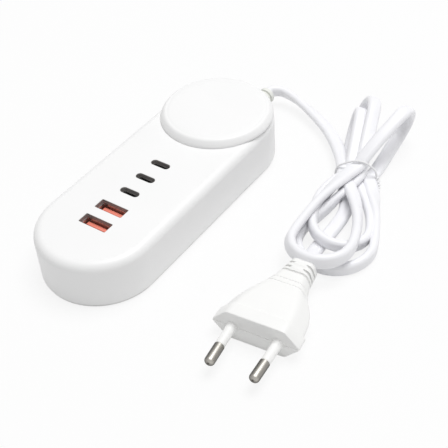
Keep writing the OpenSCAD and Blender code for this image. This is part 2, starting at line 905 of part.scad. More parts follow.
// Six-sided section with rounded corners at the place y along the plug
function plug_section(y, w, t, flat) =
    let (
        c = [
            [w / 2, 0], [flat / 2, t / 2], [-flat / 2, t / 2],
            [-w / 2, 0], [-flat / 2, -t / 2], [flat / 2, -t / 2]
        ],
        cut = 0.12 * t
    )
    [
        for (i = [0 : 5])
            each [
                for (p = round_corner(c[(i + 5) % 6], c[i], c[(i + 1) % 6], cut))
                    [p[0], y, p[1]]
            ]
    ];

// Places along the plug, each with its width, thickness and top flat
function plug_places() =
    let (
        taper_l = plug_l - flange_l - neck_l,
        neck_flat = neck_w * 0.76
    )
    concat(
        [
            for (s = flange_shape)
                [-plug_l + s[0] * flange_l, plug_w * s[1], plug_t * s[2], plug_flat * s[3]]
        ],
        [
            for (s = taper_shape)
                [
                    -plug_l + flange_l + s[0] * taper_l,
                    plug_w * s[1], plug_t * s[2], plug_flat * s[3]
                ]
        ],
        [
            [-neck_l, neck_w * 1.12, neck_t * 1.1, neck_flat * 1.08],
            [-neck_l * 0.66, neck_w, neck_t * 1.04, neck_flat],
            [0, neck_w * 0.94, neck_t * 0.94, neck_flat * 0.94]
        ]
    );

module plug_skin() {
    sections = [for (s = plug_places()) plug_section(s[0], s[1], s[2], s[3])];
    n = len(sections);
    m = len(sections[0]);
    points = [for (s = sections) each s];
    sides = [
        for (i = [0 : n - 2], k = [0 : m - 1])
            let (a = i * m + k, b = i * m + (k + 1) % m)
            each [[a, a + m, b], [b, a + m, b + m]]
    ];
    ends = [
        [for (k = [0 : m - 1]) k],
        [for (k = [m - 1 : -1 : 0]) (n - 1) * m + k]
    ];
    polyhedron(points, concat(sides, ends));
}

module at_pin(side) {
    in_plug()
        translate([side * pin_spacing / 2, -plug_l, 0])
            rotate([0, 0, -side * pin_lean]) rotate([90, 0, 0]) children();
}

module plug_body() {
    color("white") difference() {
        in_plug() difference() {
            plug_skin();
            for (c = neck_cuts, face = [-1, 1])
                let (half_t = lookup(-c[0], [for (s = plug_places()) [s[0], s[2] / 2]]))
                translate([
                    -plug_w / 2,
                    -c[0] - c[1] / 2,
                    face > 0 ? half_t - c[2] : -half_t - 2
                ])
                    cube([plug_w, c[1], c[2] + 2]);
        }
        for (side = [-1, 1])
            at_pin(side) translate([0, 0, -pin_root])
                cylinder(d = sleeve_d, h = pin_root + 1, $fn = small_fn);
    }
}

module plug_pin(side) {
    bare_from = pin_l - pin_bare_l;
    tip_r = 1.4;
    color("silver") at_pin(side) rotate_extrude($fn = 48) {
        translate([0, -pin_root]) square([sleeve_bore / 2, pin_root + bare_from + 1]);
        rounded_half(pin_d / 2, bare_from, pin_l, tip_r);
    }
}

module pin_sleeve(side) {
    color("whitesmoke") at_pin(side) translate([0, 0, -pin_root]) difference() {
        cylinder(d = sleeve_d, h = pin_root + pin_l - pin_bare_l, $fn = 48);
        translate([0, 0, -1])
            cylinder(d = sleeve_bore + 2 * sleeve_gap, h = pin_root + pin_l + 2, $fn = 48);
    }
}

upper_housing();
base_cover();
housing_screws();
foot(quarters[0]);  // foot_1
foot(quarters[1]);  // foot_2
foot(quarters[2]);  // foot_3
foot(quarters[3]);  // foot_4
pad_cap();
charging_coil();
ferrite_plate();
coil_leads();
socket_board();
power_board();
board_link();
large_shell(large_y[0]);  // large_shell_1
large_shell(large_y[1]);  // large_shell_2
large_tongue(large_y[0]);  // large_tongue_1
large_tongue(large_y[1]);  // large_tongue_2
large_contacts(large_y[0]);  // large_contacts_1
large_contacts(large_y[1]);  // large_contacts_2
small_shell(small_y[0]);  // small_shell_1
small_shell(small_y[1]);  // small_shell_2
small_shell(small_y[2]);  // small_shell_3
small_blade(small_y[0]);  // small_blade_1
small_blade(small_y[1]);  // small_blade_2
small_blade(small_y[2]);  // small_blade_3
transformer_core();
transformer_winding();
input_capacitor(0);  // input_capacitor_1
input_capacitor(1);  // input_capacitor_2
output_capacitor(-1);  // output_capacitor_1
output_capacitor(1);  // output_capacitor_2
bridge_rectifier();
mains_fuse();
line_choke();
safety_capacitor();
power_transistor();
heat_sink();
charge_controller();
storage_choke();
mains_wires();
cord_gland();
cord_lead();
cord_hank();
cord_tail();
cord_tie();
plug_body();
plug_pin(-1);  // plug_pin_1
plug_pin(1);  // plug_pin_2
pin_sleeve(-1);  // pin_sleeve_1
pin_sleeve(1);  // pin_sleeve_2
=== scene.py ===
"""Looks of the desktop charger: five sockets, round charging pad, flat mains lead in a tied bundle."""
import math
from math import cos, hypot, pi, radians, sin

import bpy
import numpy as np
from mathutils import Matrix, Vector


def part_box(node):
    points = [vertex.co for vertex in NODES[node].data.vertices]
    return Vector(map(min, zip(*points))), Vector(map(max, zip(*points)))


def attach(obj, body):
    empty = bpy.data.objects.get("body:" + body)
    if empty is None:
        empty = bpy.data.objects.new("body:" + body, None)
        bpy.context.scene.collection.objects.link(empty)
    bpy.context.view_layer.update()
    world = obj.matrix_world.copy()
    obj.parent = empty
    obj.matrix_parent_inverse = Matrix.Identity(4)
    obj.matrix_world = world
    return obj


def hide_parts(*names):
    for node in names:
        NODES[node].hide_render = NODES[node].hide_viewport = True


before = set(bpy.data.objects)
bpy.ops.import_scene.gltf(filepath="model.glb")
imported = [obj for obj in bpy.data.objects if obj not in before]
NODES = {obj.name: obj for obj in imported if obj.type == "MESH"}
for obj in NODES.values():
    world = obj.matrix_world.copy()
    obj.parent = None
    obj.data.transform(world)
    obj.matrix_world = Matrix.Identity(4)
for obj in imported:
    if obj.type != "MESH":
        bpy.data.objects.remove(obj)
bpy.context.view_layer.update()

MM = 0.001
X, Y, Z = 0, 1, 2
UP = np.array([0, 0, 1.0])
scene = bpy.context.scene

# Camera: its place in metres, its bearing, height and roll in degrees, and its lens
CAMERA_AT = (0.213296, -0.236734, 0.275695)
CAMERA_BEARING, CAMERA_HEIGHT, CAMERA_ROLL = -52.342, 42.292, -4.393
CAMERA_LENS, SENSOR_WIDTH = 79.648, 36


def camera_axes(bearing, height, roll):
    """Right, up and backward directions of the camera, from angles in degrees."""
    bearing, height, roll = radians(bearing), radians(height), radians(roll)
    back = np.array([cos(height) * cos(bearing), cos(height) * sin(bearing), sin(height)])
    level = np.array([-sin(bearing), cos(bearing), 0])
    right = level * cos(roll) + np.cross(back, level) * sin(roll)
    return right, np.cross(back, right), back


camera_data = bpy.data.cameras.new("camera")
camera_data.sensor_width = SENSOR_WIDTH
camera_data.lens = CAMERA_LENS
camera_data.clip_start = 0.01
camera_data.clip_end = 20
camera = bpy.data.objects.new("camera", camera_data)
scene.collection.objects.link(camera)
columns = [*camera_axes(CAMERA_BEARING, CAMERA_HEIGHT, CAMERA_ROLL), CAMERA_AT]
camera.matrix_world = Matrix([*np.column_stack(columns).tolist(), [0, 0, 0, 1]])
scene.camera = camera
scene.view_settings.view_transform = "Standard"

# Material tools: the part of a noise that is used, and its detail in soft clouds and in fine grain
NOISE_RANGE = (0.3, 0.7)
CLOUD_DETAIL, GRAIN_DETAIL = 4, 2
COAT_ROUGHNESS = 0.25


def new_material(name):
    """An empty material, its nodes and its links."""
    material = bpy.data.materials.new(name)
    material.use_nodes = True
    tree = material.node_tree
    tree.nodes.clear()
    return material, tree.nodes, tree.links


def tint(nodes, links, value, low, high):
    """Colour that runs from low to high with a noise value."""
    ramp = nodes.new("ShaderNodeValToRGB")
    for element, place, color in zip(ramp.color_ramp.elements, NOISE_RANGE, (low, high)):
        element.position = place
        element.color = (*color, 1)
    links.new(value, ramp.inputs["Fac"])
    return ramp.outputs["Color"]


def spread(nodes, links, value, low, high):
    """Number that runs from low to high with a noise value."""
    span = nodes.new("ShaderNodeMapRange")
    for end, number in zip(("From Min", "From Max", "To Min", "To Max"), (*NOISE_RANGE, low, high)):
        span.inputs[end].default_value = number
    links.new(value, span.inputs["Value"])
    return span.outputs["Result"]


def noise(nodes, links, scale, detail, stretch):
    """Noise value over the object's own coordinates, each stretched by its factor."""
    where = nodes.new("ShaderNodeTexCoord")
    mapping = nodes.new("ShaderNodeMapping")
    mapping.inputs["Scale"].default_value = stretch
    links.new(where.outputs["Object"], mapping.inputs["Vector"])
    texture = nodes.new("ShaderNodeTexNoise")
    texture.inputs["Scale"].default_value = scale
    texture.inputs["Detail"].default_value = detail
    links.new(mapping.outputs["Vector"], texture.inputs["Vector"])
    return texture.outputs["Fac"]


def surface(name, color, vary, rough, metal=0.0, cloud=60, grain=2500, bump=0.0, stretch=(1, 1, 1),
            coat=0.0):
    """Moulding, rubber or metal: soft clouds in its colour, fine grain in its roughness and relief.

    Cloud and grain are noise scales per metre, and bump is the height of the grain in millimetres.
    """
    material, nodes, links = new_material(name)
    output = nodes.new("ShaderNodeOutputMaterial")
    shader = nodes.new("ShaderNodeBsdfPrincipled")
    links.new(shader.outputs["BSDF"], output.inputs["Surface"])
    soft = noise(nodes, links, cloud, CLOUD_DETAIL, stretch)
    fine = noise(nodes, links, grain, GRAIN_DETAIL, stretch)
    low = tuple(c * (1 - vary) for c in color)
    high = tuple(min(1.0, c * (1 + vary * 0.5)) for c in color)
    links.new(tint(nodes, links, soft, low, high), shader.inputs["Base Color"])
    links.new(spread(nodes, links, fine, *rough), shader.inputs["Roughness"])
    shader.inputs["Metallic"].default_value = metal
    if coat:
        shader.inputs["Coat Weight"].default_value = coat
        shader.inputs["Coat Roughness"].default_value = COAT_ROUGHNESS
    if bump:
        relief = nodes.new("ShaderNodeBump")
        relief.inputs["Strength"].default_value = 1.0
        relief.inputs["Distance"].default_value = bump * MM
        links.new(fine, relief.inputs["Height"])
        links.new(relief.outputs["Normal"], shader.inputs["Normal"])
    return material


def paint_rim_shade(material, rim, blend):
    """Paints shade into a polished metal's colour where it turns away from the camera, a painted dark
    reflection at its rim.
    """
    nodes, links = material.node_tree.nodes, material.node_tree.links
    shader = next(node for node in nodes if node.type == "BSDF_PRINCIPLED")
    before = shader.inputs["Base Color"].links[0].from_socket
    # Painted shade: near black is mixed into the colour where the surface faces away from the camera
    facing = nodes.new("ShaderNodeLayerWeight")
    facing.inputs["Blend"].default_value = blend
    mix = nodes.new("ShaderNodeMix")
    mix.data_type = "RGBA"
    mix.inputs["B"].default_value = (*rim, 1)
    links.new(facing.outputs["Facing"], mix.inputs["Factor"])
    links.new(before, mix.inputs["A"])
    links.new(mix.outputs["Result"], shader.inputs["Base Color"])


LOOKS = {
    "housing": dict(color=(0.90, 0.90, 0.90), vary=0.01, rough=(0.34, 0.44), cloud=40, grain=3200,
                    bump=0.006),
    "base": dict(color=(0.80, 0.80, 0.79), vary=0.03, rough=(0.5, 0.6), cloud=50, grain=2200, bump=0.02),
    "foot": dict(color=(0.33, 0.33, 0.33), vary=0.12, rough=(0.75, 0.9), cloud=200, grain=2600, bump=0.05),
    "pad": dict(color=(0.90, 0.90, 0.90), vary=0.01, rough=(0.36, 0.46), cloud=40, grain=3200, bump=0.006),
    "screw": dict(color=(0.62, 0.61, 0.58), vary=0.1, rough=(0.25, 0.4), metal=1, cloud=300, bump=0.01),
    "copper": dict(color=(0.80, 0.38, 0.17), vary=0.15, rough=(0.22, 0.4), metal=1, cloud=300),
    "ferrite": dict(color=(0.045, 0.045, 0.05), vary=0.3, rough=(0.55, 0.75), cloud=400, bump=0.03),
    "board": dict(color=(0.03, 0.22, 0.09), vary=0.25, rough=(0.3, 0.45), cloud=250, bump=0.01, coat=0.4),
    "link_pin": dict(color=(0.85, 0.66, 0.30), vary=0.1, rough=(0.2, 0.35), metal=1, cloud=300),
    "shell": dict(color=(0.66, 0.65, 0.64), vary=0.12, rough=(0.25, 0.42), metal=1, cloud=220, grain=1800,
                  stretch=(1, 1, 0.1)),
    "collar": dict(color=(0.40, 0.38, 0.37), vary=0.15, rough=(0.4, 0.55), metal=0.4, cloud=220, grain=1800,
                   stretch=(1, 1, 0.1)),
    "orange_tongue": dict(color=(0.97, 0.28, 0.20), vary=0.06, rough=(0.4, 0.55), cloud=500, grain=2600,
                          bump=0.01),
    "contact": dict(color=(0.88, 0.70, 0.36), vary=0.1, rough=(0.2, 0.35), metal=1, cloud=400),
    "dark_blade": dict(color=(0.03, 0.03, 0.032), vary=0.2, rough=(0.4, 0.6), cloud=400),
    "winding_tape": dict(color=(0.80, 0.58, 0.12), vary=0.12, rough=(0.3, 0.45), cloud=200, grain=1500,
                         stretch=(1, 1, 3), coat=0.3),
    "can_sleeve": dict(color=(0.02, 0.03, 0.10), vary=0.2, rough=(0.25, 0.4), cloud=250, coat=0.4),
    "chip_case": dict(color=(0.03, 0.03, 0.03), vary=0.25, rough=(0.55, 0.7), cloud=500, grain=2600,
                      bump=0.02),
    "fuse_glass": dict(color=(0.62, 0.66, 0.64), vary=0.1, rough=(0.1, 0.2), cloud=300, coat=0.5),
    "disc_coat": dict(color=(0.07, 0.22, 0.45), vary=0.15, rough=(0.3, 0.45), cloud=300, bump=0.01),
    "sink": dict(color=(0.75, 0.75, 0.76), vary=0.08, rough=(0.3, 0.5), metal=1, cloud=200, grain=1500,
                 stretch=(1, 1, 0.05)),
    "wire_skin": dict(color=(0.25, 0.10, 0.04), vary=0.12, rough=(0.4, 0.55), cloud=300),
    "gland": dict(color=(0.83, 0.84, 0.80), vary=0.02, rough=(0.4, 0.52), cloud=150, grain=2600, bump=0.012),
    "cord": dict(color=(0.90, 0.90, 0.925), vary=0.012, rough=(0.34, 0.46), cloud=90, grain=1500,
                 bump=0.008),
    "tie": dict(color=(0.86, 0.86, 0.87), vary=0.03, rough=(0.3, 0.42), cloud=300, grain=1800, bump=0.01),
    "plug": dict(color=(0.90, 0.90, 0.89), vary=0.012, rough=(0.36, 0.48), cloud=80, grain=2800, bump=0.008),
    "pin": dict(color=(0.80, 0.77, 0.71), vary=0.05, rough=(0.42, 0.46), metal=1, cloud=300, grain=1800,
                stretch=(1, 0.06, 1)),
    # Painted shade: near black for the disc on each pin tip, standing in for the shade in its dimple
    "painted_dimple_shade": dict(color=(0.07, 0.06, 0.05), vary=0.1, rough=(0.5, 0.6), metal=0.5, cloud=300),
    "sleeve": dict(color=(0.92, 0.92, 0.91), vary=0.03, rough=(0.35, 0.5), cloud=200, grain=2200,
                   bump=0.008),
}
MATERIALS = {name: surface(name, **look) for name, look in LOOKS.items()}
# Painted shade: the pins' colour runs to near black where they turn away, a painted dark reflection at their
# rims
paint_rim_shade(MATERIALS["pin"], rim=(0.02, 0.018, 0.015), blend=0.75)


# Mesh tools, in millimetres
def make(name, verts, faces, slot, sharp=35, finish=None):
    """A smooth piece with sharp edges over an angle in degrees; finish is a look other than its slot's."""
    mesh = bpy.data.meshes.new(name)
    mesh.from_pydata([tuple(float(c) * MM for c in v) for v in verts], [], [tuple(f) for f in faces])
    mesh.validate()
    mesh.polygons.foreach_set("use_smooth", [True] * len(mesh.polygons))
    mesh.update()
    mesh.set_sharp_from_angle(angle=radians(sharp))
    mesh.materials.append(MATERIALS[finish or slot])
    piece = bpy.data.objects.new(name, mesh)
    scene.collection.objects.link(piece)
    return piece


def upper_side(node, axis):
    """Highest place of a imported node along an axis."""
    return round(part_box(node)[1][axis] / MM, 2)


def middle(node, axis):
    """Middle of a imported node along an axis."""
    return round(sum(corner[axis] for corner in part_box(node)) / 2 / MM, 2)


def unit(vector):
    """The same way at length 1."""
    vector = np.asarray(vector, float)
    return vector / np.linalg.norm(vector)


def loft(rings, close=False):
    """Points and faces of a skin over rings with equal counts of points, with end caps unless it closes."""
    rings = np.asarray(rings, float)
    count, sides, _ = rings.shape
    faces = []
    for i in range(count if close else count - 1):
        j = (i + 1) % count
        for k in range(sides):
            k2 = (k + 1) % sides
            faces.append((i * sides + k, i * sides + k2, j * sides + k2, j * sides + k))
    if not close:
        faces.append(tuple(range(sides - 1, -1, -1)))
        faces.append(tuple((count - 1) * sides + k for k in range(sides)))
    return rings.reshape(-1, 3), faces


def joined(parts):
    """Points and faces of several skins as one."""
    verts, faces, start = [], [], 0
    for part_verts, part_faces in parts:
        verts.append(part_verts)
        faces += [tuple(i + start for i in face) for face in part_faces]
        start += len(part_verts)
    return np.vstack(verts), faces


def turned(profile, sides=48):
    """Rings round the Z axis from rows of height and radius."""
    angles = [2 * pi * k / sides for k in range(sides)]
    return np.array([[(r * cos(a), r * sin(a), z) for a in angles] for z, r in profile])


def curve_through(points, steps):
    """Smooth curve through rows of numbers, with `steps` pieces between neighbours."""
    points = np.asarray(points, float)
    out = []
    n = len(points)
    for i in range(n - 1):
        p0, p1, p2, p3 = points[max(i - 1, 0)], points[i], points[i + 1], points[min(i + 2, n - 1)]
        for j in range(steps):
            t = j / steps
            out.append(0.5 * (2 * p1 + (p2 - p0) * t + (2 * p0 - 5 * p1 + 4 * p2 - p3) * t * t
                              + (3 * p1 - p0 - 3 * p2 + p3) * t ** 3))
    out.append(points[-1])
    return np.array(out)


def directions(points):
    """Unit vector along a line at each of its points."""
    way = np.gradient(points, axis=0)
    return way / np.linalg.norm(way, axis=1)[:, None]


def flat_rings(points, wides, w, t, sides=24):
    """Rings of a flat two-core section along a line, its wide side along `wides`."""
    way = directions(points)
    wide = wides - (wides * way).sum(1)[:, None] * way
    wide /= np.linalg.norm(wide, axis=1)[:, None]
    thin = np.cross(way, wide)
    rings = []
    for k in range(sides):
        a = 2 * pi * (k + 0.5) / sides
        x = math.copysign((w - t) / 2, cos(a)) + t / 2 * cos(a)
        rings.append(points + wide * x + thin * (t / 2 * sin(a)))
    return np.stack(rings, 1)


def wire_rings(points, radius, sides=10, close=False):
    """Rings of a round wire along a line that doesn't start upwards."""
    points = np.asarray(points, float)
    if close:
        way = np.roll(points, -1, 0) - np.roll(points, 1, 0)
        way /= np.linalg.norm(way, axis=1)[:, None]
    else:
        way = directions(points)
    side = unit(np.cross(way[0], UP))
    angles = [2 * pi * k / sides for k in range(sides)]
    rings = []
    for p, t in zip(points, way):
        side = unit(side - np.dot(side, t) * t)
        up = np.cross(t, side)
        rings.append([p + radius * (side * cos(a) + up * sin(a)) for a in angles])
    return np.array(rings)


# Cord: its width and thickness, where it leaves the gland, and where and at which angle the tie holds it
CORD_W, CORD_T = 6.0, 3.6
OUTLET = (0.0, 80.4, 8.0)
TIE_AT = np.array([62.0, 53.4, 0.0])
BUNDLE_TURN = radians(20.6)

# From the gland to the tie, and from the tie to the plug: x, y, z, and the turn of the flat side in degrees
LEAD_ROUTE = [
    (0, 80.4, 8, 90), (0.2, 83.4, 8, 82), (3.6, 86.6, 7.4, 70), (10.5, 86.4, 6.4, 59), (18.8, 83.8, 5.4, 43),
    (27.6, 80, 4.6, 26), (36, 75, 4.2, 13), (43.5, 68.6, 4.2, 5), (50.2, 61.2, 5, 2), (54.6, 55.2, 6, 0),
]
TAIL_ROUTE = [
    (60.6, 46.5, 2.3, 0), (64.5, 41, 2, 0), (67.3, 35.5, 1.85, 0), (68.6, 30, 1.85, 0), (69.1, 23, 1.85, 0),
    (69.2, 16.7, 1.85, 0), (69.4, 10, 2.2, 4), (70.5, 3.5, 3.8, 12), (72.1, -1.5, 5.7, 8),
    (73.0, -5.2, 6.75, 0), (73.4, -7.4, 6.85, 0),
]

# Turns of the bundle: points of each turn, of its legs and of its end circle
TURN_POINTS, LEG_POINTS, ARC_POINTS = 24, 40, 60
# Share of a turn over which it leaves its first layer, and again over which it reaches its last
LAYER_SHARE = 0.42
# Share of a turn at which its cone begins to change, and over which it changes
CONE_FROM, CONE_OVER = 0.3, 0.4
# How far against its edge way the level way may point before it is turned round
MOST_AGAINST = -0.3
# Pieces of the smooth line between two points, its least gap to the floor, and how many points a lift blends
LINE_STEPS, FLOOR_GAP, LIFT_REACH = 4, 0.03, 10


def at_tie(u, z, v=0.0):
    """Place at the tie: u across the bundle, v along it and z up."""
    return TIE_AT + np.array([
        u * cos(BUNDLE_TURN) - v * sin(BUNDLE_TURN), u * sin(BUNDLE_TURN) + v * cos(BUNDLE_TURN), z
    ])


def ease(share):
    """Smooth step from 0 to 1."""
    share = min(1.0, max(0.0, share))
    return share * share * (3 - 2 * share)


def turn(start, end, centre, radius, tilt, swell=(0, 0), cone=(0, 0), flat=(0.2, 0.2), lean=(1, 1)):
    """One turn of the bundle: out from the tie, round an end circle and back to the tie.

    Swell rounds its two legs and cone leans their upper edges inwards, both in degrees. Flat is the share
    of the turn over which each leg turns from its flat side to its edge, and lean the side it turns to.
    """
    start, end, centre = (np.asarray(p, float) for p in (start, end, centre))
    axis = unit(centre - (start + end) / 2)
    level = unit(np.cross(UP, axis))
    across = level * cos(radians(tilt)) + np.cross(axis, level) * sin(radians(tilt))
    normal = np.cross(axis, across)
    u0, v0, w0 = (start - centre) @ axis, (start - centre) @ across, (start - centre) @ normal
    u1, v1, w1 = (end - centre) @ axis, (end - centre) @ across, (end - centre) @ normal

    def touch(u, v, side):
        """Angle at which a straight leg from (u, v) would touch the end circle."""
        return math.atan2(v, -u) + side * math.acos(min(1, radius / hypot(u, v)))

    def leg(u, v, a, side):
        """Curve from (u, v) that joins the end circle at an angle without a corner."""
        here, there = np.array([u, v]), radius * np.array([-cos(a), sin(a)])
        knee = there - side * np.array([sin(a), cos(a)]) * np.linalg.norm(there - here) / 2
        shares = np.linspace(0, 1, LEG_POINTS)
        return [here * (1 - q) ** 2 + knee * 2 * q * (1 - q) + there * q * q for q in shares]

    a0 = touch(u0, v0, 1) + radians(swell[0])
    a1 = touch(u1, v1, -1) + 2 * pi - radians(swell[1])
    arc = [radius * np.array([-cos(a), sin(a)]) for a in np.linspace(a0, a1, ARC_POINTS)[1:-1]]
    line = np.array(leg(u0, v0, a0, 1) + arc + leg(u1, v1, a1, -1)[::-1])
    run = np.concatenate([[0], np.cumsum(np.linalg.norm(np.diff(line, axis=0), axis=1))])
    along = np.gradient(line, axis=0)
    out = []
    for share in (i / TURN_POINTS for i in range(TURN_POINTS + 1)):
        u, v, du, dv = (np.interp(share * run[-1], run, column) for column in (*line.T, *along.T))
        leaves = 1 - ease(share / LAYER_SHARE)
        arrives = ease((share - 1 + LAYER_SHARE) / LAYER_SHARE)
        side = 0 if share < 0.5 else 1
        edge = ease(min(share, 1 - share) / flat[side])
        slope = radians(cone[0] + (cone[1] - cone[0]) * ease((share - CONE_FROM) / CONE_OVER))
        wide = normal * cos(slope) + unit(axis * dv - across * du) * sin(slope)
        place = centre + axis * u + across * v + normal * (w0 * leaves + w1 * arrives)
        out.append((place, [wide, edge, lean[side]]))
    return out


# Layers of the bundle at the tie, and its turns in their order along the cord
LOW, MID, TOP = 2.4, 6.0, 9.6
TURNS = [
    dict(start=at_tie(-7.2, MID), end=at_tie(0.5, TOP), centre=(73, 5.5, 10.5), radius=12, tilt=0,
         swell=(22, 9), cone=(0, 24), flat=(0.36, 0.24)),
    dict(start=at_tie(0.5, TOP), end=at_tie(5.5, LOW), centre=(66.4, 80.9, 12), radius=10, tilt=103,
         swell=(4, 14)),
    dict(start=at_tie(5.5, LOW), end=at_tie(1.5, MID), centre=(74.5, 14.5, 3), radius=15, tilt=0,
         swell=(10, -6)),
    dict(start=at_tie(1.5, MID), end=at_tie(0.5, LOW), centre=(50.5, 82.5, 11), radius=9, tilt=113),
    dict(start=at_tie(0.5, LOW), end=at_tie(-2.5, MID), centre=(72.6, 22, 5), radius=11.5, tilt=-8,
         swell=(17, 26), cone=(0, -10), flat=(0.4, 0.4), lean=(1, -1)),
    dict(start=at_tie(-2.5, MID), end=at_tie(-5, LOW), centre=(48.5, 78, 9), radius=7.2, tilt=104),
]


def route(rows):
    """Places of a route and the way of the cord's wide side at each."""
    places = np.array([row[:3] for row in rows], float)
    out = []
    for place, way, row in zip(places, directions(places), rows):
        level = unit(np.cross(way, UP))
        angle = radians(row[3])
        out.append((place, level * cos(angle) + np.cross(level, way) * sin(angle)))
    return out


def wide_way(way, facts):
    """Way of the wide side in a turn: level at the tie, and on edge away from it."""
    wide, share_on_edge, lean = facts
    level = unit(np.cross(way, UP)) * lean
    edge = unit(wide - np.dot(wide, way) * way)
    if np.dot(level, edge) < MOST_AGAINST:
        level = -level
    return level * (1 - share_on_edge) + edge * share_on_edge


def lay_on_floor(line, wide):
    """Lifts the stretches of a line that would pass below the floor, blended with their neighbours."""
    sunk = np.maximum(0, FLOOR_GAP - flat_rings(line, wide, CORD_W, CORD_T)[..., Z].min(1))
    most = np.array([sunk[max(0, i - LIFT_REACH):i + LIFT_REACH + 1].max() for i in range(len(sunk))])
    window = np.hanning(2 * LIFT_REACH + 3)[1:-1]
    lift = np.convolve(np.pad(most, LIFT_REACH, mode="edge"), window / window.sum(), mode="valid")
    return line + UP * lift[:, None]


def cord_line():
    """Centreline of the whole cord and the way of its wide side."""
    steps = route(LEAD_ROUTE)
    for facts in TURNS:
        steps += turn(**facts)[1:]
    steps += route(TAIL_ROUTE)
    points = np.array([place for place, _ in steps])
    wides = []
    for way, (_, wide) in zip(directions(points), steps):
        if isinstance(wide, list):
            wide = wide_way(way, wide)
        if wides and np.dot(wide, wides[-1]) < 0:
            wide = -wide
        wides.append(unit(wide))
    rows = curve_through(np.hstack([points, np.array(wides)]), LINE_STEPS)
    line, wide = rows[:, :3], rows[:, 3:]
    return lay_on_floor(line, wide), wide


cord_path, cord_wide = cord_line()
cord = make("cord", *loft(flat_rings(cord_path, cord_wide, CORD_W, CORD_T)), "cord", sharp=60)

# Gland at the end of the body, with three grooves
GLAND_LENGTH, GLAND_R, GLAND_EDGE_R, GROOVE_R = 15.0, 3.8, 3.78, 2.7
GROOVES = (5.6, 8.8, 12.0)


def gland_profile():
    """Rows of distance from the body and radius."""
    rows = [(-2, 3.3), (0.0, 3.3), (0.02, GLAND_R)]
    for groove in GROOVES:
        rows += [
            (groove - 0.9, GLAND_R), (groove - 0.15, GLAND_EDGE_R), (groove, GROOVE_R),
            (groove + 0.85, GROOVE_R), (groove + 1.0, GLAND_EDGE_R),
        ]
    return rows + [(GLAND_LENGTH - 0.5, GLAND_R), (GLAND_LENGTH - 0.15, 3.68), (GLAND_LENGTH, 3.4)]


gland_rings = turned(gland_profile(), 64)[..., [X, Z, Y]] + np.array(OUTLET) - np.array([0, GLAND_LENGTH, 0])
gland = make("gland_sleeve", *loft(gland_rings), "gland")

# Plug: its own frame has the face at y = -PLUG_LENGTH and the cord's end at 0
PLUG_AT = np.array([71.4, -7.6, 6.85])
PLUG_TURN = radians(6.5)
PLUG_LENGTH = 38.0
# How far the cord pulls the neck to the right, the length that gives way, and how late it does
NECK_BEND, BENT_LENGTH, BEND_POWER = 2.0, 33.0, 1.2
CORNER_STEPS = 6
# Distance from the face, half width, thickness, half of the top flat, rounding of the corners
PLUG_PLACES = [
    (0.00, 17.6, 13.3, 11.4, 0.1), (0.12, 17.8, 13.55, 11.5, 0.1), (0.45, 17.95, 13.68, 11.55, 0.11),
    (3.0, 17.95, 13.7, 11.5, 0.12), (5.2, 17.95, 13.7, 11.5, 0.12), (5.5, 17.85, 13.58, 11.45, 0.12),
    (5.65, 17.5, 13.3, 11.3, 0.12), (5.75, 16.9, 12.9, 10.95, 0.13), (6.4, 16.85, 12.85, 10.9, 0.14),
    (10.3, 16.3, 12.75, 10.5, 0.15), (13.2, 15.65, 12.65, 9.9, 0.17), (16, 14.6, 12.5, 9.1, 0.19),
    (19.3, 12.7, 12.2, 7.9, 0.2), (21, 11.3, 12.0, 7.2, 0.2), (22.3, 10.4, 11.85, 6.7, 0.2),
    (22.45, 10.25, 11.35, 6.5, 0.2), (22.75, 10.1, 11.3, 6.4, 0.2), (22.9, 10.0, 11.75, 6.5, 0.2),
    (24.7, 9.0, 11.6, 6.1, 0.2), (24.85, 8.8, 11.0, 5.9, 0.2), (25.15, 8.7, 10.95, 5.8, 0.2),
    (25.3, 8.7, 11.45, 5.9, 0.2), (27.5, 7.8, 11.25, 5.4, 0.2), (29.5, 7.1, 11.0, 5.0, 0.2),
    (29.65, 6.4, 8.9, 4.5, 0.2), (30.35, 6.3, 8.9, 4.4, 0.2), (30.5, 6.9, 10.75, 4.9, 0.2),
    (31.6, 6.7, 10.65, 4.8, 0.2), (31.7, 3.5, 10.5, 3.2, 0.2), (32.6, 3.5, 10.45, 3.2, 0.2),
    (32.7, 6.5, 10.5, 4.7, 0.2), (34.3, 6.3, 10.3, 4.5, 0.2), (34.4, 3.5, 10.2, 3.2, 0.2),
    (35.3, 3.5, 10.1, 3.2, 0.2), (35.4, 6.1, 10.1, 4.4, 0.2), (37.3, 5.8, 9.6, 4.3, 0.2),
    (37.8, 5.4, 9.0, 4.1, 0.2), (38, 4.8, 8.2, 3.9, 0.2),
]
# The face rises a little towards a small flat in its middle
FACE_RISE, FACE_FLAT_SHARE = 0.03, 0.2
# Seam: half length, half height, the stretch over which its ends fade, and its points
SEAM_REACH, SEAM_HEIGHT, SEAM_FADE, SEAM_POINTS = 17.3, 0.17, 1.5, 40


def in_plug(points):
    """Points of the plug's own frame, set in their place."""
    points = np.asarray(points, float)
    c, s = cos(PLUG_TURN), sin(PLUG_TURN)
    out = points.copy()
    out[..., X] = points[..., X] * c - points[..., Y] * s
    out[..., Y] = points[..., X] * s + points[..., Y] * c
    return out + PLUG_AT


def plug_ring(away, half_w, thick, half_flat, cut):
    """Six-sided section with round corners."""
    corners = np.array([
        (half_w, 0), (half_flat, thick / 2), (-half_flat, thick / 2),
        (-half_w, 0), (-half_flat, -thick / 2), (half_flat, -thick / 2),
    ])
    ring = []
    for i in range(6):
        before, at, after = corners[i - 1], corners[i], corners[(i + 1) % 6]
        a, b = at + unit(before - at) * cut * thick, at + unit(after - at) * cut * thick
        for q in (k / CORNER_STEPS for k in range(CORNER_STEPS + 1)):
            p = a * (1 - q) ** 2 + at * 2 * q * (1 - q) + b * q * q
            ring.append((p[0], away - PLUG_LENGTH, p[1]))
    return ring


def bent(points):
    """Sets the neck of the plug a little to the right, as its cord pulls it."""
    points = np.array(points, float)
    share = np.clip((points[..., Y] + BENT_LENGTH) / BENT_LENGTH, 0, 1)
    points[..., X] += NECK_BEND * share ** BEND_POWER
    return points


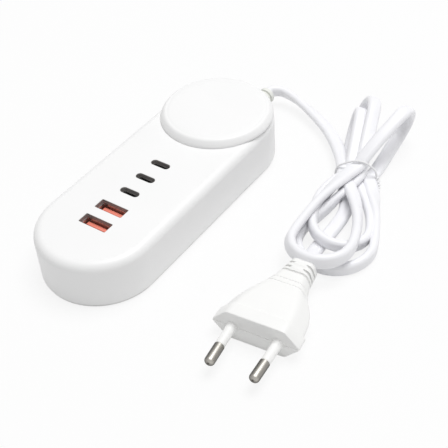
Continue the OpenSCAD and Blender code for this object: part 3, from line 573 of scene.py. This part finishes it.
def seam():
    """Parting line of the moulding across the face of the plug."""
    inside, outside = 0.02 - PLUG_LENGTH, -0.05 - PLUG_LENGTH
    rings = []
    for x in np.linspace(-SEAM_REACH, SEAM_REACH, SEAM_POINTS):
        h = SEAM_HEIGHT * min(1, (SEAM_REACH + 0.05 - abs(x)) / SEAM_FADE)
        rings.append([(x, inside, h), (x, outside - h, h / 2), (x, outside - h, -h / 2), (x, inside, -h)])
    return rings


plug_rings = [plug_ring(*place) for place in PLUG_PLACES]
face_middle = [
    (x * FACE_FLAT_SHARE, -PLUG_LENGTH - FACE_RISE, z * FACE_FLAT_SHARE) for x, _, z in plug_rings[0]
]
plug = make("plug_shell", *loft(in_plug(bent([face_middle] + plug_rings))), "plug", sharp=40)
plug_seam = make("plug_seam", *loft(in_plug(seam())), "plug")

# Pins, their sleeves and the small dark disc on each tip, painted shade of its dimple: distance from the
# face and radius
PIN_SPACING, PIN_TIP_SPACING, PIN_LENGTH, BARE_LENGTH = 18.6, 17.5, 19.0, 9.0
PIN_LEAN = math.atan((PIN_SPACING - PIN_TIP_SPACING) / 2 / PIN_LENGTH)
PIN_R, TIP_R, CORE_R = 2.0, 1.4, 1.5
BARE_FROM = PIN_LENGTH - BARE_LENGTH
PIN_TIP = [
    (PIN_LENGTH - TIP_R * (1 - sin(a)), PIN_R - TIP_R * (1 - cos(a))) for a in np.linspace(0, pi / 2, 9)
]
PIN_PROFILE = [
    (-8, CORE_R), (BARE_FROM - 0.01, CORE_R), (BARE_FROM, PIN_R - 0.1), (BARE_FROM + 0.1, PIN_R), *PIN_TIP,
    (PIN_LENGTH, 0.02),
]
SLEEVE_PROFILE = [
    (-6, 1.9), (-0.1, 2.12), (0.5, 2.12), (0.75, 2.04), (2.6, 1.98), (5.5, 1.93), (8.4, 1.9), (9.3, 1.88),
    (9.75, 1.82), (9.98, 1.66), (9.98, 1.53), (-6, 1.53),
]
DIMPLE_SHADE_PROFILE = [(18.9, 0.45), (19.01, 0.45), (19.03, 0.38), (19.03, 0.2), (19.02, 0.02)]


def on_pin(points, side):
    """Points whose Z runs along a pin from the face outwards, set in their place."""
    c, s = cos(PIN_LEAN), sin(PIN_LEAN)
    x = points[..., X] * c - points[..., Z] * s
    y = -points[..., X] * s - points[..., Z] * c
    return in_plug(np.stack([side * (PIN_SPACING / 2 + x), y - PLUG_LENGTH, points[..., Y]], -1))


pins, sleeves, dimple_shades = [], [], []
for index, side in ((1, -1), (2, 1)):
    pins.append(make(f"pin_{index}", *loft(on_pin(turned(PIN_PROFILE, 64), side)), "pin"))
    sleeve_skin = loft(on_pin(turned(SLEEVE_PROFILE), side), close=True)
    sleeves.append(make(f"sleeve_{index}", *sleeve_skin, "sleeve", sharp=40))
    # Each tip gets a thin dark disc, painted shade of a dimple that is not modelled
    dimple_shade_skin = loft(on_pin(turned(DIMPLE_SHADE_PROFILE, 24), side))
    dimple_shades.append(make(f"pin_dimple_shade_{index}", *dimple_shade_skin, "pin", finish="painted_dimple_shade"))

# Wire tie: a loop round the bundle, across and up, and the axis of its twisted ends, across, up and along
TIE_R, TWIST_R, TWIST_TURNS, TWIST_TAPER = 0.45, 0.62, 2.6, 0.25
TIE_LOOP = [
    (-8.6, 2.6), (-8.8, 5.4), (-7.7, 8.6), (-4.6, 10.8), (-1.0, 12.3), (2.4, 12.3), (5.4, 10.8),
    (7.9, 8.2), (8.6, 5.0), (8.5, 2.2), (7.6, 0.75), (3, 0.45), (-3, 0.45), (-7.2, 0.8),
]
TWIST_AXIS = [(8.9, 4.6, -0.2), (9.8, 3.4, -2.2), (10.1, 2.4, -4.6), (9.9, 1.5, -7.5)]


def twist():
    """The two ends of the wire, twisted round each other."""
    axis = curve_through([at_tie(*place) for place in TWIST_AXIS], 14)
    ends = []
    for phase in (0.0, pi):
        line = []
        for i, place in enumerate(axis):
            share = i / (len(axis) - 1)
            r = TWIST_R * (1 - TWIST_TAPER * share)
            a = phase + 2 * pi * TWIST_TURNS * share
            line.append(place + np.array([cos(a) * r, 0, sin(a) * r]))
        ends.append(loft(wire_rings(line, TIE_R)))
    return joined(ends)


loop_line = curve_through([at_tie(*place) for place in TIE_LOOP + TIE_LOOP[:1]], 6)[:-1]
tie_wire = make("tie_wire", *loft(wire_rings(loop_line, TIE_R, close=True), close=True), "tie")
tie_knot = make("tie_knot", *twist(), "tie")

# Sockets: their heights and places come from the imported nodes
BOARD_TOP = upper_side("socket_board", Z)
COLLAR_LOW, COLLAR_HIGH = upper_side("large_shell_1", Z) + 0.02, upper_side("upper_housing", Z) - 0.12
LARGE_Y = [middle(f"large_shell_{index}", Y) for index in (1, 2)]
SMALL_Y = [middle(f"small_shell_{index}", Y) for index in (1, 2, 3)]
# Outer and inner sizes of a collar and the rounding of its corners
LARGE_COLLAR = dict(outer=(13.26, 5.28), inner=(12.96, 5.08), r=0.48)
SMALL_COLLAR = dict(outer=(9.1, 3.32), inner=(8.84, 3.06), r=1.65)
# Inside of a large shell to one side of its middle, gap behind the blade, and thickness of the blade
SHELL_HALF, BLADE_GAP, BLADE_T = 2.56, 0.7, 1.84
# Root and blade of a tongue: width, depth, rounding and height, from the foot upwards
ROOT_TOP = 8.8
ROOT_PLACES = [
    (12.1, 4.72, 0.3, BOARD_TOP), (12.3, 4.92, 0.3, BOARD_TOP + 0.1),
    (12.3, 4.92, 0.3, ROOT_TOP - 0.1), (12.1, 4.72, 0.3, ROOT_TOP),
]
BLADE_PLACES = [
    (11.1, BLADE_T, 0.25, ROOT_TOP - 1), (11.1, BLADE_T, 0.25, 18.45),
    (10.95, BLADE_T - 0.14, 0.25, 18.68), (10.6, BLADE_T - 0.48, 0.2, 18.8),
]
# Contact strips: width, thickness and spacing, and their heights with how far they stand out there
STRIP_W, STRIP_T, STRIP_SPACING = 1.0, 0.2, 2.3
STRIP_BEND = [(8.8, 0), (14, 0), (15.4, 0.12), (16.6, 0.2), (17.4, 0.08), (17.8, 0)]


def slab_ring(w, d, r, z, corner=5):
    """Rounded rectangle at one height."""
    ring = []
    for cx, cy, start in ((1, 1, 0), (-1, 1, 90), (-1, -1, 180), (1, -1, 270)):
        for k in range(corner + 1):
            a = radians(start + 90 * k / corner)
            ring.append((cx * (w / 2 - r) + r * cos(a), cy * (d / 2 - r) + r * sin(a), z))
    return ring


def collar(name, y, outer, inner, r):
    """Thin sheet metal rim that lines one cut-out of the housing."""
    edge, inner_r = 0.06, r - 0.08
    verts, faces = loft([
        slab_ring(*outer, r, COLLAR_LOW), slab_ring(*outer, r, COLLAR_HIGH - edge),
        slab_ring(outer[0] - edge, outer[1] - edge, r, COLLAR_HIGH), slab_ring(*inner, inner_r, COLLAR_HIGH),
        slab_ring(*inner, inner_r, COLLAR_LOW),
    ], close=True)
    return make(name, verts + np.array([0, y, 0]), faces, "shell", sharp=45, finish="collar")


def tongue(name, y):
    """Root block of a large socket and the blade that stands on it."""
    off_middle = np.array([0, SHELL_HALF - BLADE_GAP - BLADE_T / 2, 0])
    root = loft([slab_ring(*place) for place in ROOT_PLACES])
    blade = loft(np.array([slab_ring(*place) for place in BLADE_PLACES]) + off_middle)
    verts, faces = joined([root, blade])
    return make(name, verts + np.array([0, y, 0]), faces, "orange_tongue", sharp=40)


def contacts(name, y):
    """Four contact springs on the front of a blade, each with a bent tip."""
    at = y + SHELL_HALF - BLADE_GAP - BLADE_T - STRIP_T / 2
    section = np.array(slab_ring(STRIP_W, STRIP_T, 0.08, 0, 2))
    strips = []
    for i in (-1.5, -0.5, 0.5, 1.5):
        strips.append(loft([section + np.array([i * STRIP_SPACING, at - out, z]) for z, out in STRIP_BEND]))
    return make(name, *joined(strips), "contact")


collars, tongues, springs = [], [], []
for index, y in enumerate(LARGE_Y, 1):
    collars.append(collar(f"large_collar_{index}", y, **LARGE_COLLAR))
    tongues.append(tongue(f"tongue_{index}", y))
    springs.append(contacts(f"springs_{index}", y))
for index, y in enumerate(SMALL_Y, 1):
    collars.append(collar(f"small_collar_{index}", y, **SMALL_COLLAR))

# Charging pad: height and radius, from the middle of its underside round its edge to the middle of its top
PAD_AT = np.array([middle("pad_cap", X), middle("pad_cap", Y), 0])
PAD_PROFILE = [
    (23.95, 0.02), (23.95, 19.5), (23.9, 20.25), (21.3, 20.35), (21.2, 20.45), (21.2, 21.45), (21.3, 21.55),
    (22.02, 21.6), (22.02, 24.3), (22.1, 24.55), (22.35, 24.62), (23.1, 24.3), (23.9, 23.85), (24.6, 23.35),
    (25.05, 22.95), (25.32, 22.5), (25.42, 22.1), (25.43, 21.75), (25.4, 21.5), (25.44, 21.25),
    (25.54, 20.9), (25.59, 20.2), (25.6, 19), (25.6, 12), (25.6, 0.02),
]
pad = make("pad_shell", *loft(turned(PAD_PROFILE, 128) + PAD_AT), "pad", sharp=50)

# Pieces on the frame
single_pieces = [cord, gland, plug, plug_seam, tie_wire, tie_knot, pad]
for piece in single_pieces + pins + sleeves + dimple_shades + collars + tongues + springs:
    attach(piece, "root")
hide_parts("cord_lead", "cord_hank", "cord_tail")
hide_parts("cord_gland")
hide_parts("plug_body")
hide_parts("cord_tie")
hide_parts("pad_cap")
for index in (1, 2):
    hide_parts(f"plug_pin_{index}")
    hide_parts(f"pin_sleeve_{index}")
    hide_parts(f"large_tongue_{index}")
    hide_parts(f"large_contacts_{index}")

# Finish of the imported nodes
FINISH = {
    "housing": ["upper_housing"],
    "base": ["base_cover"],
    "foot": ["foot_1", "foot_2", "foot_3", "foot_4"],
    "pad": ["pad_cap"],
    "screw": ["housing_screws"],
    "copper": ["charging_coil", "coil_leads", "line_choke"],
    "ferrite": ["ferrite_plate", "transformer_core"],
    "board": ["socket_board", "power_board"],
    "link_pin": ["board_link"],
    "shell": ["large_shell_1", "large_shell_2", "small_shell_1", "small_shell_2", "small_shell_3"],
    "orange_tongue": ["large_tongue_1", "large_tongue_2"],
    "contact": ["large_contacts_1", "large_contacts_2"],
    "dark_blade": ["small_blade_1", "small_blade_2", "small_blade_3"],
    "winding_tape": ["transformer_winding"],
    "can_sleeve": ["input_capacitor_1", "input_capacitor_2", "output_capacitor_1", "output_capacitor_2"],
    "chip_case": ["bridge_rectifier", "power_transistor", "charge_controller", "storage_choke"],
    "fuse_glass": ["mains_fuse"],
    "disc_coat": ["safety_capacitor"],
    "sink": ["heat_sink"],
    "wire_skin": ["mains_wires"],
    "pin": ["plug_pin_1", "plug_pin_2"],
    "sleeve": ["pin_sleeve_1", "pin_sleeve_2"],
    "cord": ["cord_lead", "cord_hank", "cord_tail"],
    "gland": ["cord_gland"],
    "tie": ["cord_tie"],
    "plug": ["plug_body"],
}
for look, names in FINISH.items():
    for name in names:
        node = NODES[name]
        if not node.material_slots:
            node.data.materials.append(MATERIALS[look])
        for material_slot in node.material_slots:
            material_slot.material = MATERIALS[look]

# Floor: pale, near white to the camera, and it keeps the object's shadow
FLOOR_Z, FLOOR_REACH = -0.00005, 4
FLOOR_COLOR = (0.84, 0.84, 0.84, 1)
FLOOR_GLOW_SHARE = 0.85
WHITE = (1, 1, 1, 1)


def floor_material():
    """Matt, with a glow that only the camera and reflections see."""
    material, nodes, links = new_material("floor")
    output = nodes.new("ShaderNodeOutputMaterial")
    soft = nodes.new("ShaderNodeBsdfDiffuse")
    soft.inputs["Color"].default_value = FLOOR_COLOR
    glow = nodes.new("ShaderNodeEmission")
    glow.inputs["Color"].default_value = WHITE
    glow.inputs["Strength"].default_value = 1.0
    path = nodes.new("ShaderNodeLightPath")
    seen = nodes.new("ShaderNodeMath")
    seen.operation = "MAXIMUM"
    links.new(path.outputs["Is Camera Ray"], seen.inputs[0])
    links.new(path.outputs["Is Glossy Ray"], seen.inputs[1])
    part = nodes.new("ShaderNodeMath")
    part.operation = "MULTIPLY"
    part.inputs[1].default_value = FLOOR_GLOW_SHARE
    links.new(seen.outputs[0], part.inputs[0])
    mix = nodes.new("ShaderNodeMixShader")
    links.new(part.outputs[0], mix.inputs["Fac"])
    links.new(soft.outputs[0], mix.inputs[1])
    links.new(glow.outputs[0], mix.inputs[2])
    links.new(mix.outputs[0], output.inputs["Surface"])
    return material


floor_sides = ((-1, -1), (1, -1), (1, 1), (-1, 1))
floor_corners = [(x * FLOOR_REACH, y * FLOOR_REACH, FLOOR_Z) for x, y in floor_sides]
floor_mesh = bpy.data.meshes.new("floor")
floor_mesh.from_pydata(floor_corners, [], [(0, 1, 2, 3)])
floor_mesh.materials.append(floor_material())
floor = bpy.data.objects.new("floor", floor_mesh)
scene.collection.objects.link(floor)

# Sky: soft light on the object, white to the camera
SKY_STRENGTH, SEEN_STRENGTH = 0.5, 1.0


def white_sky(nodes, strength):
    """Even white background of one strength."""
    sky = nodes.new("ShaderNodeBackground")
    sky.inputs["Color"].default_value = WHITE
    sky.inputs["Strength"].default_value = strength
    return sky.outputs[0]


world = bpy.data.worlds.new("world")
world.use_nodes = True
sky_nodes, sky_links = world.node_tree.nodes, world.node_tree.links
sky_nodes.clear()
sky_out = sky_nodes.new("ShaderNodeOutputWorld")
sky_path = sky_nodes.new("ShaderNodeLightPath")
sky_mix = sky_nodes.new("ShaderNodeMixShader")
sky_links.new(sky_path.outputs["Is Camera Ray"], sky_mix.inputs["Fac"])
sky_links.new(white_sky(sky_nodes, SKY_STRENGTH), sky_mix.inputs[1])
sky_links.new(white_sky(sky_nodes, SEEN_STRENGTH), sky_mix.inputs[2])
sky_links.new(sky_mix.outputs[0], sky_out.inputs["Surface"])
scene.world = world

# Lamp: a wide disc overhead, a little behind the object, in metres and watts
LAMP_AT, LAMP_TARGET = Vector((0.22, 0.32, 1.5)), Vector((0.03, 0.02, 0))
LAMP_SIZE, LAMP_POWER = 1.0, 15.8
lamp_data = bpy.data.lights.new("overhead", "AREA")
lamp_data.shape = "DISK"
lamp_data.size = LAMP_SIZE
lamp_data.energy = LAMP_POWER
lamp = bpy.data.objects.new("overhead", lamp_data)
scene.collection.objects.link(lamp)
lamp.location = LAMP_AT
lamp.rotation_euler = (LAMP_TARGET - LAMP_AT).to_track_quat("-Z", "Y").to_euler()
